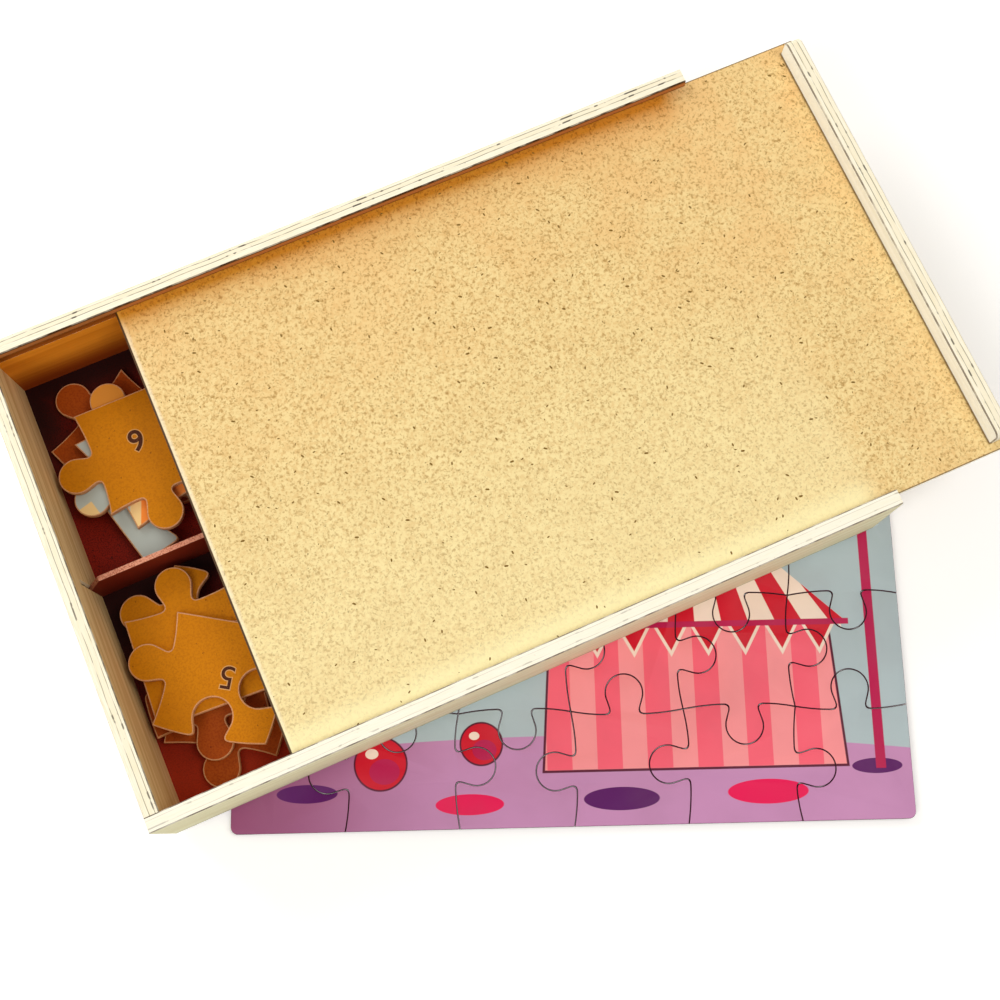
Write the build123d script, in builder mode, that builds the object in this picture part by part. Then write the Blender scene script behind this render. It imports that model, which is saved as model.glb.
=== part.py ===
"""Wooden puzzle box with a sliding lid, its loose jigsaw pieces and one assembled puzzle under it.

Millimetres, +Z up. The origin is under the middle of the box's footprint, on the plane that the
whole set stands on, which is the underside of the assembled puzzle. +X runs along the box towards
the end where the lid slides out, and +Y towards the far side wall.
"""
from build123d import *
from math import acos, atan2, cos, sin, sqrt
import os

os.makedirs("parts", exist_ok=True)

# Box, which is as long and wide inside as an assembled puzzle and the room around it
puzzle_end_room = 12.0
puzzle_side_room = 4.0
box_height = 45.0
wall = 6.0
wall_arris = 0.4
panel_thickness = 3.0
rebate_depth = 3.0
glue_gap = 0.1

# Lid, in grooves of the two side walls
lid_thickness = 3.0
lid_drop = 4.5
groove_depth = 2.0
lid_side_clearance = 0.6
lid_under_clearance = 0.1
lid_top_clearance = 0.4
lid_end_clearance = 0.5
lid_open = 50.0
strip_thickness = 6.5
strip_height = 9.0
strip_side_clearance = 2.0
strip_corner_radius = 3.0
strip_arris = 0.5

# Dividers
divider_thickness = 2.0
divider_height = 24.0
divider_slot_depth = 2.0
divider_slot_extra = 6.0
divider_clearance = 0.1
divider_corner_run = 5.5
divider_corner_drop = 12.0

# Puzzle pieces
piece_pitch = 45.0
piece_thickness = 3.0
puzzle_columns = 6
puzzle_rows = 4
cut_width = 0.24
knob_radius = 7.5
knob_height = 16.0
neck_half_width = 5.2
neck_chamfer = 1.5
shoulder_dip = 1.5
knob_shift = 1.8
puzzle_corner_radius = 3.0
puzzle_x = 25.0
puzzle_y = -77.0
puzzle_turn = -22.3

# Which way the knobs point: a string for each row of cuts, from the puzzle's lower edge upwards
row_cuts = ("^vv^v^", "v^v^vv", "^v^v^v")
column_cuts = ("<><<>", "><>>>", "<>><<", "><<>>")

# Places that follow from the sizes above
inner_length = puzzle_columns * piece_pitch + 2 * puzzle_end_room
inner_width = puzzle_rows * piece_pitch + 2 * puzzle_side_room
box_length = inner_length + 2 * wall
box_width = inner_width + 2 * wall
base = piece_thickness
top = base + box_height
left = -box_length / 2
right = box_length / 2
inner_left = left + wall
inner_right = right - wall
inner_side = inner_width / 2
floor = base + panel_thickness
lid_top = top - lid_drop
lid_bottom = lid_top - lid_thickness
groove_bottom = lid_bottom - lid_under_clearance
groove_top = lid_top + lid_top_clearance
end_wall_top = groove_bottom - lid_under_clearance


def side_wall(side):
    """Full length side wall with its lid groove and the rebate that holds the bottom panel."""
    with BuildPart() as side_board:
        with BuildSketch(Plane.YZ.offset(left)):
            with Locations((side * (box_width - wall) / 2, base + box_height / 2)):
                Rectangle(wall, box_height)
        extrude(amount=box_length)
        long_edges = side_board.edges().filter_by(Axis.X).group_by(Axis.Z)[-1]
        chamfer(long_edges, length=wall_arris)
        with BuildSketch(Plane.YZ.offset(inner_left)):
            with Locations((side * (inner_side + groove_depth / 2), (groove_bottom + groove_top) / 2)):
                Rectangle(groove_depth, groove_top - groove_bottom)
        extrude(amount=right - inner_left, mode=Mode.SUBTRACT)
        with BuildSketch(Plane.YZ.offset(inner_left - rebate_depth)):
            with Locations((side * (inner_side + rebate_depth / 2), base + panel_thickness / 2)):
                Rectangle(rebate_depth, panel_thickness)
        extrude(amount=inner_right - inner_left + 2 * rebate_depth, mode=Mode.SUBTRACT)
    return side_board


def end_wall(outer_x, inward, height, name):
    """End wall between the side walls, with its rebate and the slot for the long divider."""
    inner_x = outer_x + inward * wall
    with BuildPart() as end_board:
        with BuildSketch(Plane.XZ.offset(-inner_side)):
            with Locations(((outer_x + inner_x) / 2, base + height / 2)):
                Rectangle(wall, height)
        extrude(amount=inner_width)
        upper_edges = end_board.edges().filter_by(Axis.Y).group_by(Axis.Z)[-1]
        chamfer(upper_edges, length=wall_arris)
        with BuildSketch(Plane.XZ.offset(-inner_side)):
            with Locations((inner_x - inward * rebate_depth / 2, base + panel_thickness / 2)):
                Rectangle(rebate_depth, panel_thickness)
        extrude(amount=inner_width, mode=Mode.SUBTRACT)
        slot_height = divider_height + divider_slot_extra
        with BuildSketch(Plane.XY.offset(floor)):
            with Locations((inner_x - inward * divider_slot_depth / 2, 0)):
                Rectangle(divider_slot_depth, divider_thickness + 2 * divider_clearance)
        extrude(amount=slot_height, mode=Mode.SUBTRACT)
    end_board.part.label = name
    export_step(end_board.part, f"parts/{name}.step")


def interlock(start, end, side, shift):
    """Draws a piece's side of one interlocking cut, anticlockwise round it from start to end.

    Side +1 is a socket in the piece and -1 a knob on it, each half a cut away from the cut's middle.
    The shoulders slope away from the knob, chamfers turn them into the neck, and the neck's flanks
    run on as tangents of the knob's arc.
    """
    radius = knob_radius + side * cut_width / 2
    neck = neck_half_width + side * cut_width / 2
    along = (end - start).normalized()
    across = along.rotate(Axis.Z, 90) * side
    middle = start + along * ((end - start).length / 2 + shift)
    centre_up = knob_height - radius
    touch_angle = acos(radius / sqrt(neck**2 + centre_up**2)) - atan2(centre_up, neck)
    touch_x = radius * cos(touch_angle)
    touch_y = centre_up + radius * sin(touch_angle)
    flank_share = neck_chamfer / sqrt((touch_x - neck) ** 2 + touch_y**2)

    def at(x, y):
        return middle + along * x + across * (y - shoulder_dip)

    for hand, corner in ((-1, start), (1, end)):
        Polyline(
            corner,
            at(hand * (neck + neck_chamfer), 0),
            at(hand * (neck + (touch_x - neck) * flank_share), touch_y * flank_share),
            at(hand * touch_x, touch_y),
        )
    ThreePointArc(at(-touch_x, touch_y), at(0, knob_height), at(touch_x, touch_y))


def knob_offset(column, row):
    """How far a knob stands from the middle of its cut, so that no two neighbours match."""
    return knob_shift * ((3 * column + 2 * row) % 5 - 2) / 2


def piece_outline(column, row, x, y):
    """Face of the piece at a column and row of the puzzle's grid, with its middle at x, y."""
    half = (piece_pitch - cut_width) / 2
    low_left, low_right = Vector(x - half, y - half), Vector(x + half, y - half)
    high_right, high_left = Vector(x + half, y + half), Vector(x - half, y + half)
    with BuildLine() as outline:
        if row == 0:
            Line(low_left, low_right)
        else:
            side = 1 if row_cuts[row - 1][column] == "^" else -1
            interlock(low_left, low_right, side, knob_offset(column, row))
        if column == puzzle_columns - 1:
            Line(low_right, high_right)
        else:
            side = 1 if column_cuts[row][column] == "<" else -1
            interlock(low_right, high_right, side, knob_offset(row, column + 1))
        if row == puzzle_rows - 1:
            Line(high_right, high_left)
        else:
            side = 1 if row_cuts[row][column] == "v" else -1
            interlock(high_right, high_left, side, -knob_offset(column, row + 1))
        if column == 0:
            Line(high_left, low_left)
        else:
            side = 1 if column_cuts[row][column - 1] == ">" else -1
            interlock(high_left, low_left, side, -knob_offset(row, column))
    make_face(outline.edges())


def jigsaw_piece(plane, column, row, x=0, y=0):
    """Adds one jigsaw piece to the part."""
    with BuildSketch(plane) as piece:
        piece_outline(column, row, x, y)
    extrude(piece.sketch, amount=piece_thickness)


def flat_plane(x, y, z, turn):
    """Horizontal plane at a point, turned about the vertical."""
    return Plane(origin=(x, y, z), x_dir=Vector(1, 0, 0).rotate(Axis.Z, turn), z_dir=(0, 0, 1))


# Box walls
for name, side in {"far_side_wall": 1, "near_side_wall": -1}.items():
    board = side_wall(side)
    board.part.label = name
    export_step(board.part, f"parts/{name}.step")

end_wall(left, 1, box_height, "left_end_wall")
end_wall(right, -1, end_wall_top - base, "right_end_wall")

# Bottom panel, let into the walls' rebates and flush with their underside
with BuildPart() as bottom_panel:
    panel_x = inner_right - inner_left + 2 * (rebate_depth - glue_gap)
    panel_y = inner_width + 2 * (rebate_depth - glue_gap)
    with BuildSketch(Plane.XY.offset(base)):
        Rectangle(panel_x, panel_y)
    extrude(amount=panel_thickness)
bottom_panel.part.label = "bottom_panel"
export_step(bottom_panel.part, "parts/bottom_panel.step")

# Lid panel, drawn where it stands when it is open by lid_open
lid_left = inner_left + lid_end_clearance + lid_open
lid_right = right + lid_open
lid_width = inner_width + 2 * (groove_depth - lid_side_clearance)
with BuildPart() as lid_panel:
    with BuildSketch(Plane.XY.offset(lid_bottom)):
        with Locations(((lid_left + lid_right) / 2, 0)):
            Rectangle(lid_right - lid_left, lid_width)
    extrude(amount=lid_thickness)
lid_panel.part.label = "lid_panel"
export_step(lid_panel.part, "parts/lid_panel.step")

# Pull strip, glued on the lid's outer end between the side walls, with its upper corners rounded
with BuildPart() as lid_pull_strip:
    with BuildSketch(Plane.YZ.offset(lid_right - strip_thickness)):
        with Locations((0, lid_top + strip_height / 2)):
            Rectangle(inner_width - 2 * strip_side_clearance, strip_height)
        fillet(vertices().group_by(Axis.Y)[-1], radius=strip_corner_radius)
    extrude(amount=strip_thickness)
    strip_edges = lid_pull_strip.edges().filter_by(Axis.Y).group_by(Axis.Z)[-1]
    chamfer(strip_edges, length=strip_arris)
lid_pull_strip.part.label = "lid_pull_strip"
export_step(lid_pull_strip.part, "parts/lid_pull_strip.step")

# Long divider, in the end walls' slots, with its upper corners cut back and a notch for the cross divider
lap_width = divider_thickness + 2 * divider_clearance
lap_height = divider_height / 2
long_reach = (inner_right - inner_left) / 2 + divider_slot_depth - divider_clearance
with BuildPart() as long_divider:
    with BuildSketch(Plane.XZ.offset(-divider_thickness / 2)):
        with BuildLine():
            Polyline(
                (-long_reach, floor),
                (long_reach, floor),
                (long_reach, floor + divider_height - divider_corner_drop),
                (inner_right - divider_corner_run, floor + divider_height),
                (inner_left + divider_corner_run, floor + divider_height),
                (-long_reach, floor + divider_height - divider_corner_drop),
                close=True,
            )
        make_face()
        with Locations((0, floor + divider_height - lap_height / 2)):
            Rectangle(lap_width, lap_height, mode=Mode.SUBTRACT)
    extrude(amount=divider_thickness)
long_divider.part.label = "long_divider"
export_step(long_divider.part, "parts/long_divider.step")

# Cross divider, half lapped over the long one and cut to fit between the side walls
cross_reach = inner_side - divider_clearance
with BuildPart() as cross_divider:
    with BuildSketch(Plane.YZ.offset(-divider_thickness / 2)):
        with Locations((0, floor + divider_height / 2)):
            Rectangle(2 * cross_reach, divider_height)
        with Locations((0, floor + (divider_height - lap_height) / 2)):
            Rectangle(lap_width, divider_height - lap_height, mode=Mode.SUBTRACT)
    extrude(amount=divider_thickness)
cross_divider.part.label = "cross_divider"
export_step(cross_divider.part, "parts/cross_divider.step")

# Assembled puzzle, one node for each row of pieces
puzzle_plane = flat_plane(puzzle_x, puzzle_y, 0, puzzle_turn)
half_columns = (puzzle_columns - 1) / 2
half_rows = (puzzle_rows - 1) / 2
corner_x = puzzle_columns * piece_pitch / 2
corner_y = puzzle_rows * piece_pitch / 2
for row in range(puzzle_rows):
    row_y = (row - half_rows) * piece_pitch
    with BuildPart() as puzzle_row:
        for column in range(puzzle_columns):
            jigsaw_piece(puzzle_plane, column, row, (column - half_columns) * piece_pitch, row_y)
        if row in (0, puzzle_rows - 1):
            corner_edges = puzzle_row.edges().filter_by(Axis.Z).filter_by(
                lambda edge: (
                    puzzle_plane.to_local_coords(edge.center()).X ** 2
                    + puzzle_plane.to_local_coords(edge.center()).Y ** 2
                )
                > (corner_x - cut_width) ** 2 + (corner_y - cut_width) ** 2
            )
            fillet(corner_edges, radius=puzzle_corner_radius)
    name = f"puzzle_row_{row + 1}"
    puzzle_row.part.label = name
    export_step(puzzle_row.part, f"parts/{name}.step")

# Loose pieces, each flat on those below it: side of the box, height in pieces, column and row of its
# outline, its place from the left end wall and from that side wall in pitches of a piece, and its turn
loose_pieces = {
    "far_loose_piece_1": (1, 0, 2, 2, 0.72, 0.86, 30),
    "far_loose_piece_2": (1, 1, 0, 1, 0.83, 1.38, 15),
    "far_loose_piece_3": (1, 2, 3, 0, 0.89, 1.10, 15),
    "far_loose_piece_4": (1, 3, 3, 3, 0.87, 1.02, 0),
    "near_loose_piece_1": (-1, 0, 0, 2, 0.74, 0.80, -30),
    "near_loose_piece_2": (-1, 1, 5, 3, 0.60, 1.09, -8),
    "near_loose_piece_3": (-1, 2, 1, 0, 0.78, 1.33, -40),
    "near_loose_piece_4": (-1, 3, 0, 0, 0.62, 1.19, -3),
    "near_loose_piece_5": (-1, 4, 2, 3, 0.76, 0.91, -33),
}
for name, (side, height, column, row, from_end, from_side, turn) in loose_pieces.items():
    piece_x = inner_left + from_end * piece_pitch
    piece_y = side * (inner_side - from_side * piece_pitch)
    with BuildPart() as loose_piece:
        jigsaw_piece(flat_plane(piece_x, piece_y, floor + height * piece_thickness, turn), column, row)
    loose_piece.part.label = name
    export_step(loose_piece.part, f"parts/{name}.step")
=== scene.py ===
"""Looks of a wooden box of jigsaw puzzles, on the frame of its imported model.

Everything is in the model's frame and in metres: +X runs along the box towards the end where the
lid slides out, +Y towards the far side wall, and +Z up. Sizes of the box's own parts are written in
millimetres and turned into metres by MM. In the materials, the two numbers of a soft mask are the
values between which it rises or falls: shares of a noise, or millimetres on the object.
"""
import logging
import math
from collections.abc import Callable, Sequence
from dataclasses import dataclass, field
from enum import Enum

import bpy
from mathutils import Matrix, Vector


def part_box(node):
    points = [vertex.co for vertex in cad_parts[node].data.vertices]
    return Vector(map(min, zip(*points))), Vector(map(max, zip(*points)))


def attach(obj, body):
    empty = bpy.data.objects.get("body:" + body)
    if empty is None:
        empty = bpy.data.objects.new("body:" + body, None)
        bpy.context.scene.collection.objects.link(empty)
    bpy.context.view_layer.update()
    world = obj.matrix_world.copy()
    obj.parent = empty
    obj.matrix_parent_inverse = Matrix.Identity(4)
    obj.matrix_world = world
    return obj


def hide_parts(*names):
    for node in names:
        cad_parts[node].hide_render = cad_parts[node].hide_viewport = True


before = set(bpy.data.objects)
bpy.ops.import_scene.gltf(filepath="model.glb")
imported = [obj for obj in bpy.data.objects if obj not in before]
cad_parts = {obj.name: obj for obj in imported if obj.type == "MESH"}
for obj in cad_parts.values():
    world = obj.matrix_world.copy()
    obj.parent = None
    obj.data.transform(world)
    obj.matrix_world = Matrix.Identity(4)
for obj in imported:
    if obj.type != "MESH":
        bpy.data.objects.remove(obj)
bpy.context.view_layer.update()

MM = 0.001
log = logging.getLogger("puzzle_box")

Colour = tuple[float, float, float, float]
Pair = tuple[float, float]
Place = tuple[float, float, float]


def tone(red: int, green: int, blue: int) -> Colour:
    """Turns a colour as a screen shows it, 0 to 255, into the linear colour of a shader.

    Args:
        red: Amount of red.
        green: Amount of green.
        blue: Amount of blue.

    Returns:
        The linear colour, with full alpha.
    """
    shares = (red / 255, green / 255, blue / 255)
    linear = [s / 12.92 if s <= 0.04045 else ((s + 0.055) / 1.055) ** 2.4 for s in shares]
    return (linear[0], linear[1], linear[2], 1.0)


class Axis(Enum):
    """A level axis of the model's frame."""

    X = 0
    Y = 1


class Digit(Enum):
    """A digit that is printed on a back."""

    FIVE = "5"
    NINE = "9"


class Surface(Enum):
    """Which side of a jigsaw piece a face belongs to, as its face attribute says it."""

    EDGE = 0
    TOP = 1
    UNDERSIDE = 2


Finish = dict[Surface, bpy.types.Material]


def operator(operation: str, swapped: bool = False) -> Callable[["Signal", "Operand"], "Signal"]:
    """Makes the method of a signal for one of Python's operators.

    Args:
        operation: The operation's name in the Math and Vector Math nodes.
        swapped: Whether the signal is its second term.

    Returns:
        The method.
    """

    def method(signal: "Signal", other: "Operand") -> "Signal":
        """Adds the operation's node.

        Args:
            signal: The signal that the operator is used on.
            other: The other term.

        Returns:
            The result.
        """
        return signal.reckon(operation, *((other, signal) if swapped else (signal, other)))

    return method


class Signal:
    """The output of a node, on which Python's operators add Math and Vector Math nodes.

    < and > give a mask of 1 where they hold, & is where both masks are, | where either is, and % is
    what is left after whole steps, never below zero.
    """

    def __init__(self, graph: "Graph", socket: bpy.types.NodeSocket) -> None:
        """Wraps a socket.

        Args:
            graph: The node tree that the socket is in.
            socket: An output socket.
        """
        self.graph = graph
        self.socket = socket

    def reckon(self, operation: str, *terms: "Operand") -> "Signal":
        """Adds the node for one operation.

        Args:
            operation: The operation's name in the Math and Vector Math nodes.
            *terms: Its one or two terms.

        Returns:
            The result.
        """
        vector = any(isinstance(t, Signal) and t.socket.type == "VECTOR" for t in terms)
        kind = "ShaderNodeVectorMath" if vector else "ShaderNodeMath"
        if vector:
            terms = tuple((t,) * 3 if isinstance(t, (int, float)) else t for t in terms)
        return self.graph.node(kind, {"operation": operation}, dict(enumerate(terms)))

    __add__ = __radd__ = operator("ADD")
    __sub__ = operator("SUBTRACT")
    __rsub__ = operator("SUBTRACT", swapped=True)
    __mul__ = __rmul__ = __and__ = operator("MULTIPLY")
    __truediv__ = operator("DIVIDE")
    __rtruediv__ = operator("DIVIDE", swapped=True)
    __pow__ = operator("POWER")
    __mod__ = operator("FLOORED_MODULO")
    __lt__ = operator("LESS_THAN")
    __gt__ = operator("GREATER_THAN")
    __or__ = operator("MAXIMUM")

    def __abs__(self) -> "Signal":
        """Size without its sign."""
        return self.reckon("ABSOLUTE", self)

    def axes(self) -> tuple["Signal", "Signal", "Signal"]:
        """Splits a vector into its x, y and z."""
        split = self.graph.node("ShaderNodeSeparateXYZ", {}, {0: self})
        return tuple(Signal(self.graph, output) for output in split.socket.node.outputs)

    def above(self, low: float, high: float) -> "Signal":
        """Soft mask that rises from 0 to 1 between two values.

        Args:
            low: Where it leaves 0.
            high: Where it reaches 1.

        Returns:
            The mask.
        """
        settings = {"interpolation_type": "SMOOTHSTEP"}
        return self.graph.node("ShaderNodeMapRange", settings, {0: self, 1: low, 2: high})

    def below(self, low: float, high: float) -> "Signal":
        """Soft mask that falls from 1 to 0 between two values.

        Args:
            low: Where it leaves 1.
            high: Where it reaches 0.

        Returns:
            The mask.
        """
        return 1 - self.above(low, high)


Operand = Signal | float | tuple[float, ...]


class Graph:
    """A node tree, with the one method that adds its nodes."""

    def __init__(self, tree: bpy.types.NodeTree) -> None:
        """Takes the tree that the nodes go in.

        Args:
            tree: A shader or geometry node tree.
        """
        self.tree = tree

    def node(
        self,
        kind: str,
        settings: dict[str, object] | None = None,
        inputs: dict[int | str, object] | None = None,
        output: int = 0,
    ) -> Signal:
        """Adds a node.

        Args:
            kind: The node's type.
            settings: Its own settings, which are set first.
            inputs: Values or links of its sockets, by number or name.
            output: Which of its outputs is wanted.

        Returns:
            That output.
        """
        made = self.tree.nodes.new(kind)
        for key, value in (settings or {}).items():
            setattr(made, key, value)
        for key, value in (inputs or {}).items():
            if isinstance(value, Signal):
                self.tree.links.new(value.socket, made.inputs[key])
            else:
                made.inputs[key].default_value = value
        return Signal(self, made.outputs[output] if made.outputs else None)

    def backdrop_rays(self) -> Signal:
        """Finds the rays that see the backdrop: the camera's own, mirrored and passed ones.

        Returns:
            Their mask.
        """
        camera = self.node("ShaderNodeLightPath")
        outputs = camera.socket.node.outputs
        mirrored, passed = (Signal(self, outputs[f"Is {kind} Ray"]) for kind in ("Glossy", "Transmission"))
        return camera | mirrored | passed


class Painter(Graph):
    """The nodes of one material."""

    def __init__(self, name: str) -> None:
        """Starts an empty material.

        Args:
            name: The material's name.
        """
        self.material = bpy.data.materials.new(name)
        self.material.use_nodes = True
        super().__init__(self.material.node_tree)
        self.tree.nodes.clear()

    def place(self) -> Signal:
        """Place on the object in millimetres."""
        return self.node("ShaderNodeTexCoord", output=3) * (1 / MM, 1 / MM, 1 / MM)

    def facing(self) -> tuple[Signal, Signal, Signal]:
        """The surface's direction in the object's frame, as its x, y and z."""
        return self.node("ShaderNodeTexCoord", output=1).axes()

    def upright(self) -> Signal:
        """Mask of the faces that don't lie flat."""
        return abs(self.facing()[2]).below(0.4, 0.6)

    def noise(self, where: Signal, size: float, detail: float = 2, distortion: float = 0) -> Signal:
        """Cloudy noise about 0.5.

        Args:
            where: Place in millimetres.
            size: Size of its blotches in the same units.
            detail: How many finer layers it has.
            distortion: How far it is stirred.

        Returns:
            The noise.
        """
        values = {"Vector": where, "Scale": 1 / size, "Detail": detail, "Distortion": distortion}
        return self.node("ShaderNodeTexNoise", {}, values)

    def grains(self, where: Signal, size: float) -> tuple[Signal, Signal]:
        """Scattered grains, one to a cell.

        Args:
            where: Place in millimetres.
            size: Size of a cell in the same units.

        Returns:
            Distance from the nearest grain in cells, and that grain's own random number.
        """
        distance = self.node("ShaderNodeTexVoronoi", {}, {"Vector": where, "Scale": 1 / size})
        colour = Signal(self, distance.socket.node.outputs["Color"])
        return distance, self.node("ShaderNodeSeparateColor", {}, {0: colour})

    def blend(self, mask: Operand, under: Operand, over: Operand, kind: str = "MIX") -> Signal:
        """Lays one colour over another.

        Args:
            mask: How much of the upper colour shows.
            under: The lower colour.
            over: The upper colour.
            kind: How they are mixed.

        Returns:
            The mixed colour.
        """
        settings = {"data_type": "RGBA", "blend_type": kind}
        return self.node("ShaderNodeMix", settings, {0: mask, 6: under, 7: over}, output=2)

    def finish(
        self, colour: Signal, roughness: Operand, height: Signal | None = None, gloss: float = 0.12
    ) -> bpy.types.Material:
        """Ends the material in a Principled BSDF.

        Args:
            colour: Base colour.
            roughness: Roughness.
            height: Height of its relief in millimetres, where it has one.
            gloss: How strongly it mirrors light, low for bare wood.

        Returns:
            The material.
        """
        values = {"Base Color": colour, "Roughness": roughness, "Specular IOR Level": gloss}
        if height is not None:
            relief = {"Strength": 1.0, "Distance": MM, "Height": height}
            values["Normal"] = self.node("ShaderNodeBump", {}, relief)
        shader = self.node("ShaderNodeBsdfPrincipled", {}, values)
        self.node("ShaderNodeOutputMaterial", {}, {"Surface": shader})
        return self.material


@dataclass(frozen=True)
class Plywood:
    """Pale sanded plywood, whose plies show on its edges.

    Attributes:
        node: The CAD node that it covers.
        name: The material's name.
        through: The axis that runs through the plies.
        outward: +1 or -1, the way from the inner face to the outer one.
        glue_lines: How far the glue lines are from the inner face, in millimetres.
        ink: How dark the glue lines are, from 0 to 1.
        inner: Lighter and darker tone of the inner face's veneer, which differs from the outer face's as
            painted shade.
        outer: Lighter and darker tone of the outer face's.
        plies: Lighter and darker tone of the sawn plies.
        glue: Tone of the glue lines.
        gap: Tone of the pits and torn places in the plies.
        arris: Tone of the painted shade along the arrises, along the lip and at the outer face's foot.
        inner_arris: How dark the painted shade on the arris at the inner face is, from 0 to 1.
        outer_arris: How dark the one at the outer face is.
        groove: Lowest and highest point of a groove in the inner face, in millimetres.
        groove_depth: How deep it is, and a hair more.
        groove_shade: Tone of the painted shade in it.
        lip_tone: Tone of the painted shade on the lip over it.
        foot: Tone of the painted reddish light reflected from the floor, and painted shade, on the inner
            face near the floor.
        floor_bounce_share: How strong that painted light and shade is, from 0 to 1.
    """

    node: str
    name: str
    through: Axis
    outward: int
    glue_lines: Pair
    ink: float
    inner: tuple[Colour, Colour] = (tone(246, 228, 190), tone(222, 190, 138))
    outer: tuple[Colour, Colour] = (tone(246, 236, 216), tone(232, 214, 186))
    plies: tuple[Colour, Colour] = (tone(252, 249, 234), tone(244, 237, 212))
    glue: Colour = tone(112, 108, 86)
    gap: Colour = tone(40, 28, 20)
    arris: Colour = tone(70, 46, 26)
    inner_arris: float = 0.8
    outer_arris: float = 0.15
    groove: Pair = (0.0, 0.0)
    groove_depth: float = 2.1
    groove_shade: Colour = tone(150, 108, 64)
    lip_tone: Colour = tone(214, 188, 140)
    foot: Colour = tone(140, 34, 8)
    floor_bounce_share: float = 0.0

    def make(self) -> bpy.types.Material:
        """Builds the material.

        Returns:
            The material.
        """
        low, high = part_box(self.node)
        inner_face = (low if self.outward > 0 else high)[self.through.value] / MM
        top = high.z / MM
        paint = Painter(self.name)
        place = paint.place()
        axes = place.axes()
        height = axes[2]
        facing = paint.facing()
        turned = facing[self.through.value] * self.outward
        depth = (axes[self.through.value] - inner_face) * self.outward
        broad = abs(turned).above(0.85, 0.95)

        stretched = place * ((0.06, 1, 0.5) if self.through is Axis.Y else (1, 0.06, 0.5))
        fibres = paint.noise(stretched, 0.45, 4)
        streaks = paint.noise(stretched, 1.6, 2)
        wander = (paint.noise(place, 14, 1) - 0.5) * 0.7
        sawn = paint.blend(fibres.above(0.35, 0.75), *self.plies)
        core = (depth > self.glue_lines[0]) & (depth < self.glue_lines[-1])
        sawn = paint.blend(core * 0.45, sawn, self.plies[1])
        for line in self.glue_lines:
            from_line = abs(depth - line + wander)
            faint = paint.noise(place + line, 9, 3).above(0.3, 0.55)
            sawn = paint.blend(from_line.below(0.06, 0.22) & (faint * self.ink), sawn, self.glue)
            torn = paint.noise(place - line, 7, 2).above(0.6, 0.64)
            sawn = paint.blend(from_line.below(0.2, 0.42) & (torn * self.ink), sawn, self.gap)
        pits = paint.noise(place * (0.5, 0.5, 1), 0.5, 3).above(0.72, 0.76)
        sawn = paint.blend(pits * (0.7 * self.ink), sawn, self.gap)

        rings = paint.noise(place * (0.03, 0.03, 1), 5, 3, 1.2).above(0.3, 0.7)
        # Painted shade: the inner face takes its own tones of the same veneer.
        outside = turned.above(-0.2, 0.2)
        pale, dark = (paint.blend(outside, *tones) for tones in zip(self.inner, self.outer))
        pores = paint.noise(place * (0.12, 0.12, 1), 0.3, 2).above(0.56, 0.75)
        veneer = paint.blend(pores * 0.4, paint.blend(rings, pale, dark), dark)
        # Painted reflection and shade: the inner face turns dark red towards the floor.
        veneer = paint.blend(height.below(8, 30) & ((1 - outside) * self.floor_bounce_share), veneer, self.foot)
        # Painted contact shade: the outer face darkens to the arris tone towards its foot.
        veneer = paint.blend(height.below(3, 8) & (outside * 0.35), veneer, self.arris)

        colour = paint.blend(broad, sawn, veneer)
        worn = 0.5 + paint.noise(place, 7, 3).above(0.35, 0.6) * 0.5
        # Painted shade: the arrises' chamfers darken to the arris tone, broken up by noise.
        inner_arris = (0 - turned).above(0.4, 0.6) & (1 - broad)
        outer_arris = turned.above(0.4, 0.6) & (1 - broad)
        painted_edge_shade = (inner_arris * self.inner_arris) | (outer_arris * self.outer_arris)
        colour = paint.blend(painted_edge_shade & worn, colour, self.arris)
        groove_low, groove_high = self.groove
        if groove_high:
            hair = 0.05
            # Painted shade in the groove.
            grooved = (height > groove_low - hair) & (height < groove_high + hair)
            grooved = grooved & (depth > 0.02) & (depth < self.groove_depth)
            end_grain = abs(facing[0]).above(0.4, 0.6)
            colour = paint.blend(grooved & (1 - end_grain), colour, self.groove_shade)
            # Painted shade: the lip over the groove takes a tone of its own.
            lip = (height > groove_high) & ((1 - outside) & broad)
            colour = paint.blend(lip * 0.9, colour, self.lip_tone)
            # Painted shade: dark lines along the lip's top and foot.
            lines = height.above(top - 1.4, top - 1.0)
            lines = lines | height.below(groove_high + 0.25, groove_high + 0.5)
            colour = paint.blend(lip & (lines * (0.8 * self.inner_arris)), colour, self.arris)
        relief = fibres * 0.08 + streaks * 0.05 - pits * 0.12 - pores * (broad * 0.05)
        return paint.finish(colour, 0.62 + fibres * 0.2, relief)


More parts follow.
